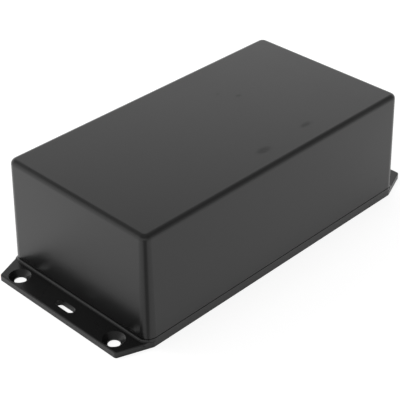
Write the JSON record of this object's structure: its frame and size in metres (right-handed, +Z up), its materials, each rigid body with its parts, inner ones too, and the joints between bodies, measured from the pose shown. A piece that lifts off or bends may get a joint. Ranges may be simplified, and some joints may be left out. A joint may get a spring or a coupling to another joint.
{
  "type": "flanged project box",
  "caption": "Black moulded enclosure for circuits: a drafted tub screwed to a flat lid whose ends stand out as mounting flanges.",
  "frame": {"origin": "middle of the lid's underside, on the surface that the box is fixed to", "axes": "+X along the length, towards one flange; +Y across the box; +Z up, from the lid to the closed face"},
  "size_m": [0.1728, 0.08, 0.05],
  "materials": {
    "body_abs": "fine satin grain, moulded in black ABS",
    "lid_abs": "fine satin grain, moulded in black ABS",
    "screw_steel": "bright zinc plated"
  },
  "bodies": {
    "root": {"enclosure_body": "body_abs", "flanged_lid": "lid_abs", "lid_screws": "screw_steel"}
  },
  "joints": []
}
